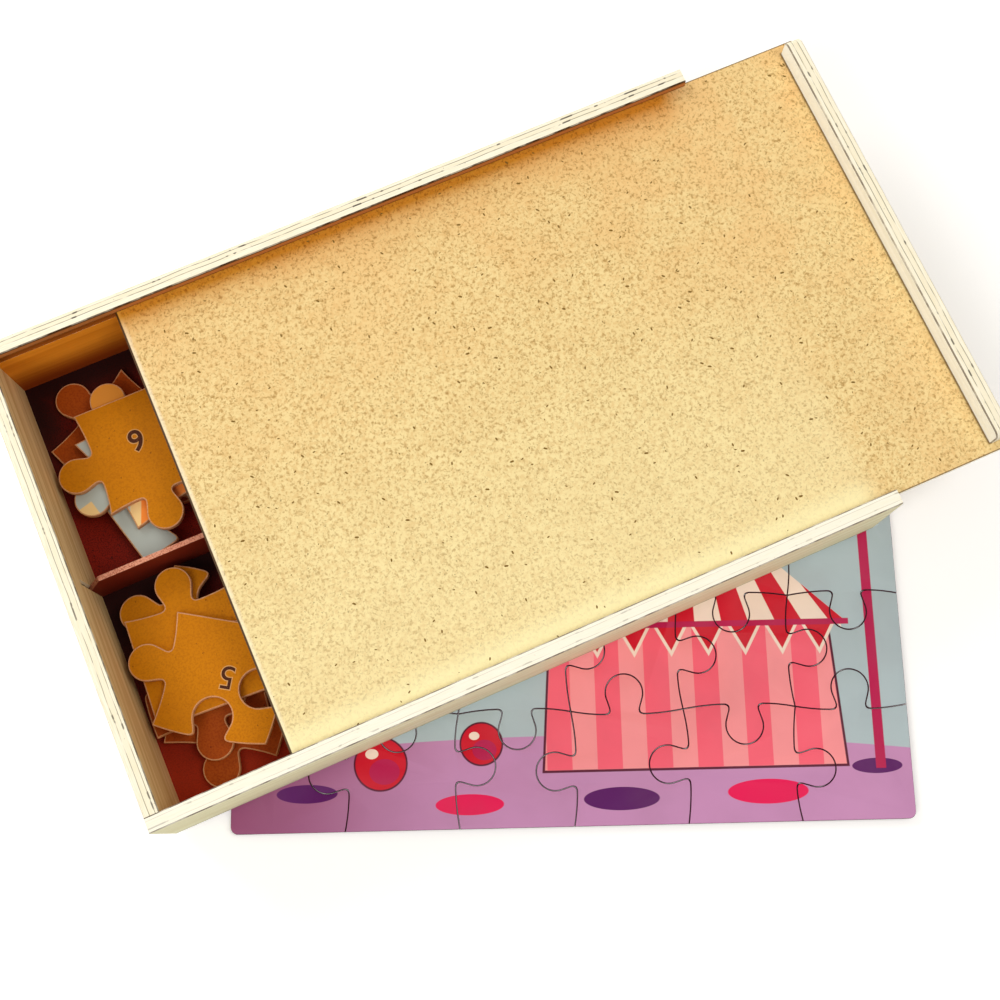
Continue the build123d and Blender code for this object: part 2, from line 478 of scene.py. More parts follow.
@dataclass(frozen=True)
class Hardboard:
    """Pressed fibre board with a speckled face.

    Attributes:
        name: The material's name.
        pale: Its lightest tone.
        dark: Its darker tone.
        fleck: Tone of its scattered fibres.
        cut: Tone of its sawn edges.
        flecks: Share of cells that have a fibre, from 0 to 1.
        grain: Size of its fine speckle, in millimetres.
        fine: Strength of that speckle, from 0 to 1.
        relief: Height of the speckle, in millimetres.
        roughness: Roughness of its face.
    """

    name: str
    pale: Colour
    dark: Colour
    fleck: Colour
    cut: Colour
    flecks: float = 0.2
    grain: float = 0.55
    fine: float = 1.0
    relief: float = 0.05
    roughness: float = 0.6

    def face(self, paint: Painter, place: Signal) -> tuple[Signal, Signal]:
        """Paints its face.

        Args:
            paint: The material's painter.
            place: Place on the object in millimetres.

        Returns:
            Its colour, and the height of its relief in millimetres.
        """
        speckle = paint.noise(place, self.grain, 3)
        cloud = paint.noise(place, 18, 3)
        colour = paint.blend(speckle.above(0.4, 0.68) * self.fine, self.pale, self.dark)
        colour = paint.blend(cloud.above(0.35, 0.75) * 0.25, colour, self.dark)
        stirred = place + (paint.noise(place, 1.1, 1) - 0.5) * 1.6
        distance, chance = paint.grains(stirred, 1.5)
        flecks = distance.below(0.16, 0.3) & (chance < self.flecks)
        colour = paint.blend(flecks * 0.75, colour, self.fleck)
        return colour, speckle * self.relief - flecks * 0.04

    def make(self) -> bpy.types.Material:
        """Builds the material, with its sawn edges on the faces that don't lie flat.

        Returns:
            The material.
        """
        paint = Painter(self.name)
        place = paint.place()
        colour, height = self.face(paint, place)
        fuzz = paint.noise(place * (1, 1, 0.4), 0.4, 3)
        sawn = paint.blend(fuzz.above(0.3, 0.7) * 0.5, self.cut, self.fleck)
        return paint.finish(paint.blend(paint.upright(), colour, sawn), self.roughness, height)


@dataclass(frozen=True)
class FloorBoard(Hardboard):
    """The bottom panel's stained hardboard, with painted shade that blackens its far corners and painted
    light along the near wall.

    Attributes:
        painted_shade: Tone of the painted shade.
        near_wall_light: Tone of the painted light along the near wall.
    """

    painted_shade: Colour = tone(14, 3, 3)
    near_wall_light: Colour = tone(206, 66, 26)

    def make(self) -> bpy.types.Material:
        """Builds the material.

        Returns:
            The material.
        """
        paint = Painter(self.name)
        place = paint.place()
        along, across, _ = place.axes()
        colour, height = self.face(paint, place)
        # Painted light: the floor is lighter red along the near wall.
        colour = paint.blend(across.below(-94, -50) * 0.4, colour, self.near_wall_light)
        left_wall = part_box("left_end_wall")[1].x / MM
        from_left = along - left_wall + (paint.noise(place, 9, 2) - 0.5) * 8
        # Painted shade: black along the far wall and the divider, and in the far left corners.
        for far_side in ("far_side_wall", "long_divider"):
            from_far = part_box(far_side)[0].y / MM - across
            corner = from_far.below(15, 66) & from_left.below(2, 24)
            shade_mask = (from_far.below(3, 26) | corner) & ((from_far > 0) * 0.92)
            colour = paint.blend(shade_mask, colour, self.painted_shade)
        return paint.finish(colour, self.roughness, height)


@dataclass(frozen=True)
class LidBoard(Hardboard):
    """The lid's hardboard, with its inner end worn pale, and with painted shadows and painted reflected
    light that change its tone across it.

    Attributes:
        dash: Tone of the short brown fibres all over it.
        peach: Tone of its warmer clouds.
        worn: Width of the worn strip along its inner end, in millimetres.
        amber: Tone of the painted shadow that the far wall's lip casts along the far groove.
        near_lip_reflection: Tone of the painted light that the near wall's lip reflects onto it, along the
            near groove.
        painted_edge_shade: Tone of the painted shade on its sides and of the painted contact shadow at the
            pull strip's foot.
        end_shadow: Tone of the painted shadow under its inner end.
    """

    dash: Colour = tone(176, 140, 80)
    peach: Colour = tone(238, 196, 134)
    worn: float = 2.1
    amber: Colour = tone(226, 174, 80)
    near_lip_reflection: Colour = tone(252, 248, 200)
    painted_edge_shade: Colour = tone(100, 76, 44)
    end_shadow: Colour = tone(64, 34, 10)

    def make(self) -> bpy.types.Material:
        """Builds the material.

        Returns:
            The material.
        """
        low, high = (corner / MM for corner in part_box("lid_panel"))
        wall_low, wall_high = (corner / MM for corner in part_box("far_side_wall"))
        strip_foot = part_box("lid_pull_strip")[0].x / MM
        paint = Painter(self.name)
        place = paint.place()
        along, across, _ = place.axes()
        colour, height = self.face(paint, place)
        warm = paint.noise(place * (1, 1.3, 1), 30, 3).above(0.4, 0.62)
        ripe = across.above(-30, 80) * 0.5 + along.above(60, 190) * 0.4
        colour = paint.blend((0.4 + warm * 0.6) & ripe, colour, self.peach)
        for turn in (0.4, 1.3, 2.1, 2.8):
            sideways = along * math.cos(turn) + across * math.sin(turn)
            lengthways = across * math.cos(turn) - along * math.sin(turn)
            where = paint.node("ShaderNodeCombineXYZ", {}, {0: sideways, 1: lengthways * 0.6, 2: turn * 40})
            dashes = paint.noise(where, 1.05, 1).above(0.57, 0.8)
            colour = paint.blend(dashes * 0.8, colour, self.dash)
        from_end = along - low.x
        ragged = from_end + (paint.noise(place, 2.5, 3) - 0.5) * 1.2
        colour = paint.blend(ragged.below(self.worn * 0.6, self.worn * 1.3) * 0.6, colour, self.cut)
        # Painted shadow of the far wall's lip, softening away from it, only where the lid lies in the box.
        boxed = along.below(wall_high.x - 14, wall_high.x)
        from_far = (wall_low.y - across) * (0.85 + paint.noise(place, 20, 2) * 0.3)
        painted_shade = 1.12 / (1 + (from_far / 6.8) ** 2)
        colour = paint.blend(painted_shade & boxed, colour, self.amber, "MULTIPLY")
        # Painted light reflected from the near wall's lip, and paler towards the near side.
        from_near = across + wall_low.y
        painted_reflection = from_near.below(0, 130) * 0.3 + from_near.below(2, 13) * 0.5
        colour = paint.blend(painted_reflection & boxed, colour, self.near_lip_reflection)
        # Painted shade along its sides, and a painted contact shadow at the pull strip's foot.
        from_side = abs(across) - high.y
        foot = (along - strip_foot).above(-1.2, -0.3) & from_side.below(-4, -3)
        colour = paint.blend((from_side.above(-0.55, -0.25) | foot) * 0.85, colour, self.painted_edge_shade)
        # Painted shadow under the inner end, on the outermost strip of its top.
        colour = paint.blend(from_end.below(0.65, 0.9) * 0.95, colour, self.end_shadow)
        colour = paint.blend(paint.upright(), colour, self.cut)
        sheen = paint.noise(place * (1, 0.3, 1), 60, 2)
        return paint.finish(colour, self.roughness + sheen * 0.08, height)


@dataclass(frozen=True)
class PieceEdge:
    """Cut edge and rolled rim of a jigsaw piece's board.

    Attributes:
        name: The material's name.
        pale: Its lighter tone.
        dark: Its darker tone.
    """

    name: str
    pale: Colour = tone(222, 168, 124)
    dark: Colour = tone(160, 98, 56)

    def make(self) -> bpy.types.Material:
        """Builds the material.

        Returns:
            The material.
        """
        paint = Painter(self.name)
        place = paint.place()
        fuzz = paint.noise(place * (1, 1, 2.5), 0.35, 3)
        pressed = paint.noise(place, 3.5, 2)
        colour = paint.blend(fuzz.above(0.35, 0.75) * 0.7, self.pale, self.dark)
        colour = paint.blend(pressed.above(0.4, 0.8) * 0.25, colour, self.dark)
        return paint.finish(colour, 0.7, fuzz * 0.04)


@dataclass(frozen=True)
class Ink:
    """Printing ink on a board's back.

    Attributes:
        name: The material's name.
        colour: Its tone.
        bare: Tone of the board where it is worn off.
    """

    name: str
    colour: Colour
    bare: Colour = tone(176, 124, 70)

    def make(self) -> bpy.types.Material:
        """Builds the material.

        Returns:
            The material.
        """
        paint = Painter(self.name)
        worn = paint.noise(paint.place(), 0.5, 3)
        return paint.finish(paint.blend(worn.above(0.55, 0.8) * 0.35, self.colour, self.bare), 0.6)


class Picture(Painter):
    """A printed picture of flat colours, painted layer over layer in its own centimetres.

    Attributes:
        BLUR: Half the width of a shape's soft edge.
        WORN: Tone of the paper where it is worn.
    """

    BLUR = 0.018
    WORN = tone(120, 84, 96)

    def __init__(self, name: str, ground: Colour, size: Pair) -> None:
        """Starts with a single colour.

        Args:
            name: The material's name.
            ground: The colour under everything.
            size: The picture's width and height in centimetres.
        """
        super().__init__(name)
        shares = self.node("ShaderNodeTexCoord", output=2)
        self.x, self.y, _ = (shares * (*size, 1)).axes()
        self.colour = self.blend(0, ground, ground)

    def paint(self, mask: Signal, colour: Operand) -> None:
        """Lays a colour where the mask is.

        Args:
            mask: Where it goes.
            colour: The colour.
        """
        self.colour = self.blend(mask, self.colour, colour)

    def over(self, value: Signal) -> Signal:
        """Mask of where a value is over zero.

        Args:
            value: The value in centimetres.

        Returns:
            The mask.
        """
        return value.above(-self.BLUR, self.BLUR)

    def oval(self, x: float, y: float, wide: float, high: float) -> Signal:
        """Mask of an oval.

        Args:
            x: Its middle along the picture.
            y: Its middle up the picture.
            wide: Half its width.
            high: Half its height.

        Returns:
            The mask.
        """
        from_middle = (((self.x - x) / wide) ** 2 + ((self.y - y) / high) ** 2) ** 0.5
        return self.over(1 - from_middle)

    def bar(self, left: Operand, low: Operand, right: Operand, high: Operand) -> Signal:
        """Mask of an upright rectangle, whose sides may be numbers or lines.

        Args:
            left: Its left side.
            low: Its lower side.
            right: Its right side.
            high: Its upper side.

        Returns:
            The mask.
        """
        sides = self.over(self.x - left) & self.over(right - self.x)
        return sides & self.over(self.y - low) & self.over(high - self.y)

    def printed(self, roughness: float = 0.42) -> bpy.types.Material:
        """Ends the material as satin printed paper.

        Args:
            roughness: Roughness of the print.

        Returns:
            The material.
        """
        place = self.place()
        paper = self.noise(place, 0.5, 2)
        worn = self.noise(place, 22, 3)
        colour = self.blend(worn.above(0.4, 0.8) * 0.10, self.colour, self.WORN)
        return self.finish(colour, roughness + worn * 0.1, paper * 0.015, 0.22)


class TentPicture(Picture):
    """Picture of a striped tent with pennants on a lilac field, on the assembled puzzle."""

    SKY = tone(176, 194, 204)
    SKY_PINK = tone(192, 174, 192)
    FIELD = tone(198, 142, 192)
    FIELD_SHADOWED = tone(146, 76, 120)
    CANVAS_PALE = tone(250, 152, 160)
    CANVAS_DEEP = tone(248, 100, 124)
    CRIMSON = tone(206, 6, 40)
    MAGENTA = tone(184, 16, 80)
    CREAM = tone(246, 226, 214)
    PLUM = tone(86, 6, 96)
    PINK = tone(232, 14, 88)
    LINE = tone(84, 12, 44)

    def __init__(self, name: str, size: Pair) -> None:
        """Paints the whole picture.

        Args:
            name: The material's name.
            size: The picture's width and height in centimetres.
        """
        super().__init__(name, self.SKY, size)
        for x, y, wide in ((3.4, 9.2, 1.5), (5.1, 8.8, 1.2), (8.6, 11.2, 1.9), (10.6, 10.7, 1.3)):
            self.paint(self.oval(x, y, wide, wide * 0.62), self.SKY_PINK)
        horizon = 3.55 + (self.x - 13) ** 2 * -0.004
        # Painted shadow of the box: the field deepens towards the picture's left.
        self.paint(self.over(horizon - self.y), self.blend(self.x.below(0, 10), self.FIELD, self.FIELD_SHADOWED))
        plum_spots = ((3.0, 1.5, 1.2), (15.4, 1.05, 1.5), (25.6, 2.1, 1.0))
        pink_spots = ((9.4, 0.95, 1.35), (21.2, 1.2, 1.6))
        for spots, colour in ((plum_spots, self.PLUM), (pink_spots, self.PINK)):
            for x, y, wide in spots:
                self.paint(self.oval(x, y, wide, wide * 0.3), colour)
        self.tent(12.4, 24.4, 2.2, 7.9)
        self.ball(5.9, 2.6, 1.0)
        self.ball(9.9, 3.3, 0.8)

    def tent(self, left: float, right: float, foot: float, eaves: float) -> None:
        """Paints the tent, its roof, its mast and its row of pennants.

        Args:
            left: Its left side.
            right: Its right side.
            foot: Its foot.
            eaves: Height of its eaves.
        """
        x, y = self.x, self.y
        stripe, pennant_wide = 2.0, 1.5
        lean = (y - foot) * 0.07
        self.paint(self.bar(left - 0.1 + lean, foot - 0.1, right + 0.1 - lean, eaves), self.LINE)
        cloth = self.bar(left + lean, foot, right - lean, eaves)
        self.paint(cloth, self.CANVAS_PALE)
        fold = abs(x % stripe - stripe / 2)
        self.paint(cloth & self.over(stripe / 4 - fold), self.CANVAS_DEEP)
        rise = y - eaves
        roof = self.bar(left - 0.4 + rise * 1.1, eaves - 0.05, right + 0.4 - rise * 1.1, eaves + 4.4)
        self.paint(roof, self.CREAM)
        spread = (x - (left + right) / 2) / (1 - rise * 0.12) + 30
        self.paint(roof & self.over(0.55 - abs(spread % 2.2 - 1.1)), self.CRIMSON)
        self.paint(self.bar(25.55, 2.0, 25.95, 16.5), self.MAGENTA)
        self.paint(self.bar(25.95, 14.6, 26.9, 16.2), self.CRIMSON)
        from_tip = abs((x - left) % pennant_wide - pennant_wide / 2) + (eaves - y) * 0.55
        inside = self.bar(left - 0.2, eaves - 1.6, right + 0.2, eaves)
        for reach, colour in ((0.72, self.CREAM), (0.58, self.CRIMSON)):
            self.paint(inside & self.over(reach - from_tip), colour)
        self.paint(self.bar(left - 0.5, eaves - 0.12, right + 0.5, eaves + 0.12), self.MAGENTA)

    def ball(self, x: float, y: float, size: float) -> None:
        """Paints a ball that lies on the field.

        Args:
            x: Its middle along the picture.
            y: Its middle up the picture.
            size: Its radius.
        """
        self.paint(self.oval(x, y, size + 0.07, size + 0.07), self.LINE)
        self.paint(self.oval(x, y, size, size), self.CRIMSON)
        self.paint(self.oval(x + 0.15 * size, y - 0.3 * size, size * 0.6, size * 0.5), self.MAGENTA)
        self.paint(self.oval(x - 0.35 * size, y + 0.4 * size, size * 0.26, size * 0.2), self.CREAM)


class HillPicture(Picture):
    """Picture of orange hills with cream tops under a grey-blue sky, on two loose pieces."""

    SKY = tone(186, 198, 196)
    HILL = tone(244, 140, 52)
    CREST = tone(248, 214, 150)
    MEADOW = tone(226, 150, 50)

    def __init__(self, name: str, size: Pair) -> None:
        """Paints the whole picture.

        Args:
            name: The material's name.
            size: The picture's width and height in centimetres.
        """
        super().__init__(name, self.SKY, size)
        x, y = self.x, self.y
        slope = (x - 14.1) * 1.4 + 0.6
        for top, colour in ((0.75, self.CREST), (0.0, self.HILL)):
            self.paint(self.over(x - 13.0) & self.over(slope + top - y), colour)
        self.paint(self.over(y - 4.55) & self.over(x - 13.6), self.MEADOW)
        self.paint(self.over(12.7 - x) & self.over(x - 9.0) & self.over(2.1 - y), self.CREST)


def curve_through(start: Vector, pull: Vector, end: Vector, steps: int) -> list[Vector]:
    """Points on a curve that leaves start towards pull and reaches end from it.

    Args:
        start: The first point.
        pull: The point that bends it.
        end: The last point.
        steps: How many steps it is divided in.

    Returns:
        The points, both ends among them.
    """
    shares = [i / steps for i in range(steps + 1)]
    return [start.lerp(pull, share).lerp(pull.lerp(end, share), share) for share in shares]


def arc_through(centre: Vector, radius: float, start: float, end: float, steps: int) -> list[Vector]:
    """Points on an arc.

    Args:
        centre: Its centre.
        radius: Its radius.
        start: The direction of its first point, in radians.
        end: The direction of its last point.
        steps: How many steps it is divided in.

    Returns:
        The points, both ends among them.
    """
    turns = [start + (end - start) * i / steps for i in range(steps + 1)]
    return [centre + Vector((math.cos(turn), math.sin(turn))) * radius for turn in turns]


@dataclass(frozen=True)
class JigsawCut:
    """The cut that all the puzzles share: a grid of pieces with a knob on each inner side.

    Attributes:
        pitch: Side of a piece's square, in millimetres like all the sizes here.
        thickness: Thickness of the board.
        columns: Pieces in a row.
        rows: Rows of pieces.
        cut_width: Width of the cut between two pieces.
        knob_radius: Radius of a knob.
        knob_height: How far it reaches.
        neck_half_width: Half the width of its neck.
        neck_round: How far the neck's foot is rounded.
        shoulder_dip: How far a side dips from its corners to the neck.
        knob_shift: Greatest shift of a knob from the middle of its side.
        corner_radius: Radius of the whole puzzle's corners.
        row_cuts: Which way the knobs point on each line under and over the rows, from the lowest up.
            The outermost lines are straight and have blanks.
        column_cuts: Which way they point on each row's lines, from the left.
    """

    pitch: float = 45.0
    thickness: float = 3.0
    columns: int = 6
    rows: int = 4
    cut_width: float = 0.24
    knob_radius: float = 7.5
    knob_height: float = 16.0
    neck_half_width: float = 5.2
    neck_round: float = 3.0
    shoulder_dip: float = 1.5
    knob_shift: float = 1.8
    corner_radius: float = 3.0
    row_cuts: tuple[str, ...] = ("      ", "^vv^v^", "v^v^vv", "^v^v^v", "      ")
    column_cuts: tuple[str, ...] = (" <><<> ", " ><>>> ", " <>><< ", " ><<>> ")

    @property
    def size(self) -> Pair:
        """Width and height of the whole puzzle in centimetres."""
        return self.columns * self.pitch / 10, self.rows * self.pitch / 10

    def knob_offset(self, place: int, line: int) -> float:
        """How far a knob stands from the middle of its side.

        Args:
            place: Which side it is along its line.
            line: Which line of the cut it is on.

        Returns:
            The shift in millimetres.
        """
        return self.knob_shift * ((3 * place + 2 * line) % 5 - 2) / 2

    def interlock(self, start: Vector, end: Vector, side: int, shift: float) -> list[Vector]:
        """Follows one side of a piece round its knob or socket.

        Args:
            start: The corner that it starts at.
            end: The corner that it ends at, which isn't among the points.
            side: +1 for a socket in the piece, -1 for a knob on it.
            shift: How far the knob stands from the middle.

        Returns:
            The points in millimetres.
        """
        along = (end - start).normalized()
        across = Vector((-along.y, along.x)) * side
        middle = (start + end) / 2 + along * shift
        radius = self.knob_radius + side * self.cut_width / 2
        neck = self.neck_half_width + side * self.cut_width / 2
        centre_up = self.knob_height - radius
        touch = math.acos(radius / math.hypot(neck, centre_up)) - math.atan2(centre_up, neck)
        touch_point = Vector((radius * math.cos(touch), centre_up + radius * math.sin(touch)))
        foot = Vector((neck, 0.0))
        flank = foot + (touch_point - foot).normalized() * self.neck_round

        def shoulder(corner_x: float, hand: int) -> list[Vector]:
            """Follows the side from a corner, down its dip and up the neck.

            Args:
                corner_x: The corner's place along the side, from the knob's middle.
                hand: -1 on the knob's left, +1 on its right.

            Returns:
                The points.
            """
            corner = Vector((corner_x, self.shoulder_dip))
            brow = Vector((hand * (neck + self.neck_round), 0.0))
            pull = Vector((corner_x * 0.45 + brow.x * 0.55, 0.05))
            bend = curve_through(brow, Vector((hand * foot.x, 0.0)), Vector((hand * flank.x, flank.y)), 10)
            return curve_through(corner, pull, brow, 10) + bend[1:]

        knob = arc_through(Vector((0.0, centre_up)), radius, touch, math.pi - touch, 40)
        first = shoulder((start - middle).dot(along), -1)
        last = shoulder((end - middle).dot(along), 1)
        path = first + knob[::-1] + last[::-1]
        return [middle + along * p.x + across * (p.y - self.shoulder_dip) for p in path[:-1]]

    def outline(self, column: int, row: int) -> list[Vector]:
        """Outline of one piece, anticlockwise about its own middle.

        Args:
            column: The piece's column, from the left.
            row: The piece's row, from the lowest.

        Returns:
            The outline's points in millimetres.
        """
        half = (self.pitch - self.cut_width) / 2
        corners = [Vector(c) * half for c in ((-1, -1), (1, -1), (1, 1), (-1, 1))]
        sides = (
            (self.row_cuts[row][column], "^", self.knob_offset(column, row)),
            (self.column_cuts[row][column + 1], "<", self.knob_offset(row, column + 1)),
            (self.row_cuts[row + 1][column], "v", -self.knob_offset(column, row + 1)),
            (self.column_cuts[row][column], ">", -self.knob_offset(row, column)),
        )
        points: list[Vector] = []
        for start, end, (mark, inward, shift) in zip(corners, corners[1:] + corners[:1], sides):
            if mark == " ":
                points += [start.lerp(end, k / 8) for k in range(8)]
            else:
                points += self.interlock(start, end, 1 if mark == inward else -1, shift)
        if column in (0, self.columns - 1) and row in (0, self.rows - 1):
            return self.rounded(points, Vector((half if column else -half, half if row else -half)))
        return points

    def rounded(self, points: list[Vector], corner: Vector) -> list[Vector]:
        """Rounds one corner of the whole puzzle.

        Args:
            points: Outline of the piece that has the corner.
            corner: The corner.

        Returns:
            The outline with that corner rounded.
        """
        radius = self.corner_radius
        centre = corner - Vector((math.copysign(radius, corner.x), math.copysign(radius, corner.y)))
        first = math.atan2(corner.y - centre.y, corner.x - centre.x) - math.pi / 4
        at = min(range(len(points)), key=lambda i: (points[i] - corner).length)
        return points[:at] + arc_through(centre, radius, first, first + math.pi / 2, 8) + points[at + 1 :]


@dataclass(frozen=True)
class BoardProfile:
    """Edge of a die-cut board, as steps of inset and height in millimetres from the bottom up.

    Attributes:
        steps: The steps.
        rim_from: The first step whose face upwards belongs to the top.
    """

    steps: tuple[Pair, ...]
    rim_from: int


PRINT_UP = BoardProfile(((0.25, 0.0), (0.0, 0.22), (0.0, 2.6), (0.17, 2.92), (0.36, 3.0)), 4)
BACK_UP = BoardProfile(((0.6, 0.0), (0.3, 0.07), (0.08, 0.25), (0.0, 2.7), (0.16, 2.93), (0.55, 3.0)), 9)
SHARP_FROM = math.radians(38)


def inset_ring(outline: Sequence[Vector], inset: float) -> list[Vector]:
    """Moves an anticlockwise outline inwards.

    Args:
        outline: Its points.
        inset: How far they move.

    Returns:
        The moved points.
    """
    moved = []
    for i, point in enumerate(outline):
        before = (point - outline[i - 1]).normalized()
        after = (outline[(i + 1) % len(outline)] - point).normalized()
        inward = Vector((-before.y - after.y, before.x + after.x))
        share = max(1 + before.dot(after), 0.5)
        moved.append(point + inward * (inset / share))
    return moved


def piece_mesh(cut: JigsawCut, column: int, row: int, profile: BoardProfile, name: str) -> bpy.types.Mesh:
    """Makes the mesh of one jigsaw piece about its own middle.

    Args:
        cut: The pattern that it is cut in.
        column: Its column.
        row: Its row.
        profile: Its edge.
        name: The mesh's name.

    Returns:
        The mesh in metres, with a face attribute for its surfaces and its picture's UV map.
    """
    outline = cut.outline(column, row)
    count = len(outline)
    rings = [[(p.x, p.y, height) for p in inset_ring(outline, inset)] for inset, height in profile.steps]
    points = [tuple(c * MM for c in p) for ring in rings for p in ring]
    faces: list[tuple[int, ...]] = [tuple(reversed(range(count)))]
    surfaces = [Surface.UNDERSIDE.value]
    for step in range(1, len(rings)):
        low, high = (step - 1) * count, step * count
        for i in range(count):
            j = (i + 1) % count
            faces.append((low + i, low + j, high + j, high + i))
            surfaces.append((Surface.TOP if step >= profile.rim_from else Surface.EDGE).value)
    faces.append(tuple(range(len(points) - count, len(points))))
    surfaces.append(Surface.TOP.value)
    mesh = bpy.data.meshes.new(name)
    mesh.from_pydata(points, [], faces)
    mesh.attributes.new("surface", "INT", "FACE").data.foreach_set("value", surfaces)
    picture = mesh.uv_layers.new(name="Picture")
    for loop in mesh.loops:
        point = mesh.vertices[loop.vertex_index].co / MM
        u = (point.x / cut.pitch + column + 0.5) / cut.columns
        v = (point.y / cut.pitch + row + 0.5) / cut.rows
        picture.data[loop.index].uv = (u, v)
    mesh.polygons.foreach_set("use_smooth", [True] * len(faces))
    mesh.set_sharp_from_angle(angle=SHARP_FROM)
    return mesh


def add_object(name: str, data: bpy.types.ID) -> bpy.types.Object:
    """Adds an object to the scene.

    Args:
        name: Its name.
        data: Its mesh, text, lamp or camera.

    Returns:
        The object.
    """
    made = bpy.data.objects.new(name, data)
    bpy.context.scene.collection.objects.link(made)
    return made


def take_mesh(worker: bpy.types.Object) -> bpy.types.Mesh:
    """Takes an object's finished shape, and removes the object.

    Args:
        worker: The object.

    Returns:
        Its shape as a plain mesh.
    """
    bpy.context.view_layer.update()
    evaluated = worker.evaluated_get(bpy.context.evaluated_depsgraph_get())
    mesh = bpy.data.meshes.new_from_object(evaluated)
    worker.modifiers.clear()
    bpy.data.objects.remove(worker)
    return mesh


class Grower(Graph):
    """A Geometry Nodes tree whose result is kept as a plain mesh."""

    def __init__(self, name: str, kinds: dict[str, str]) -> None:
        """Starts the tree with its sockets.

        Args:
            name: The tree's name.
            kinds: Kinds of its inputs by name, the geometry that it starts from first.
        """
        super().__init__(bpy.data.node_groups.new(name, "GeometryNodeTree"))
        interface = self.tree.interface
        interface.new_socket("Result", in_out="OUTPUT", socket_type="NodeSocketGeometry")
        self.identifiers = {}
        for label, kind in kinds.items():
            socket = interface.new_socket(label, in_out="INPUT", socket_type=f"NodeSocket{kind}")
            self.identifiers[label] = socket.identifier
        given = self.node("NodeGroupInput").socket.node.outputs
        self.inputs = {socket.name: Signal(self, socket) for socket in given}

    def grow(self, name: str, seed: bpy.types.Mesh, values: dict[str, object]) -> bpy.types.Object:
        """Runs the tree on a mesh.

        Args:
            name: The new object's name.
            seed: The mesh that the tree starts from.
            values: Its other inputs, by name.

        Returns:
            The new object.
        """
        worker = add_object(f"{name} seed", seed)
        modifier = worker.modifiers.new("Grow", "NODES")
        modifier.node_group = self.tree
        for label, value in values.items():
            modifier[self.identifiers[label]] = value
        mesh = take_mesh(worker)
        mesh.name = name
        return add_object(name, mesh)


@dataclass(frozen=True)
class Spot:
    """Where one jigsaw piece lies.

    Attributes:
        column: Column of its outline in the cut.
        row: Row of its outline in the cut.
        place: Middle of its underside, in millimetres.
        turn: Its turn about the vertical, in degrees.
    """

    column: int
    row: int
    place: Place
    turn: float


class PieceLayer(Grower):
    """Geometry Nodes tree that lays jigsaw pieces on points."""

    def __init__(self, name: str, cut: JigsawCut, profile: BoardProfile) -> None:
        """Makes the shapes of all the cut's pieces and the tree.

        Args:
            name: The tree's name.
            cut: The pattern that the pieces are cut in.
            profile: Their edge.
        """
        kinds = {"Points": "Geometry", "Shapes": "Collection"}
        super().__init__(name, kinds | {surface.name: "Material" for surface in Surface})
        self.cut = cut
        self.shapes = bpy.data.collections.new(name)
        for number in range(cut.rows * cut.columns):
            row, column = divmod(number, cut.columns)
            shape = f"{name} {number:02d}"
            mesh = piece_mesh(cut, column, row, profile, shape)
            self.shapes.objects.link(bpy.data.objects.new(shape, mesh))
        separate = {"Collection": self.inputs["Shapes"], "Separate Children": True, "Reset Children": True}
        laid = {
            "Points": self.inputs["Points"],
            "Instance": self.node("GeometryNodeCollectionInfo", {}, separate),
            "Pick Instance": True,
            "Instance Index": self.attribute("shape", "INT"),
            "Rotation": self.node("ShaderNodeCombineXYZ", {}, {"Z": self.attribute("turn", "FLOAT")}),
        }
        made = self.node("GeometryNodeInstanceOnPoints", {}, laid)
        made = self.node("GeometryNodeRealizeInstances", {}, {0: made})
        on = self.attribute("surface", "INT")
        equal = {"data_type": "INT", "operation": "EQUAL"}
        for surface in Surface:
            chosen = self.node("FunctionNodeCompare", equal, {2: on, 3: surface.value})
            values = {"Geometry": made, "Selection": chosen, "Material": self.inputs[surface.name]}
            made = self.node("GeometryNodeSetMaterial", {}, values)
        self.node("NodeGroupOutput", {}, {0: made})

    def attribute(self, name: str, kind: str) -> Signal:
        """Reads an attribute of the geometry.

        Args:
            name: The attribute's name.
            kind: Its data type.

        Returns:
            Its value.
        """
        return self.node("GeometryNodeInputNamedAttribute", {"data_type": kind}, {"Name": name})

    def lay(self, name: str, spots: Sequence[Spot], finish: Finish) -> bpy.types.Object:
        """Lays pieces on their spots and makes them one plain mesh.

        Args:
            name: The new object's name.
            spots: Where the pieces lie.
            finish: Their materials.

        Returns:
            The new object.
        """
        points = bpy.data.meshes.new(f"{name} points")
        points.from_pydata([tuple(c * MM for c in spot.place) for spot in spots], [], [])
        shapes = [spot.row * self.cut.columns + spot.column for spot in spots]
        turns = [math.radians(spot.turn) for spot in spots]
        for label, kind, values in (("shape", "INT", shapes), ("turn", "FLOAT", turns)):
            points.attributes.new(label, kind, "POINT").data.foreach_set("value", values)
        given = {"Shapes": self.shapes} | {surface.name: finish[surface] for surface in Surface}
        return self.grow(name, points, given)


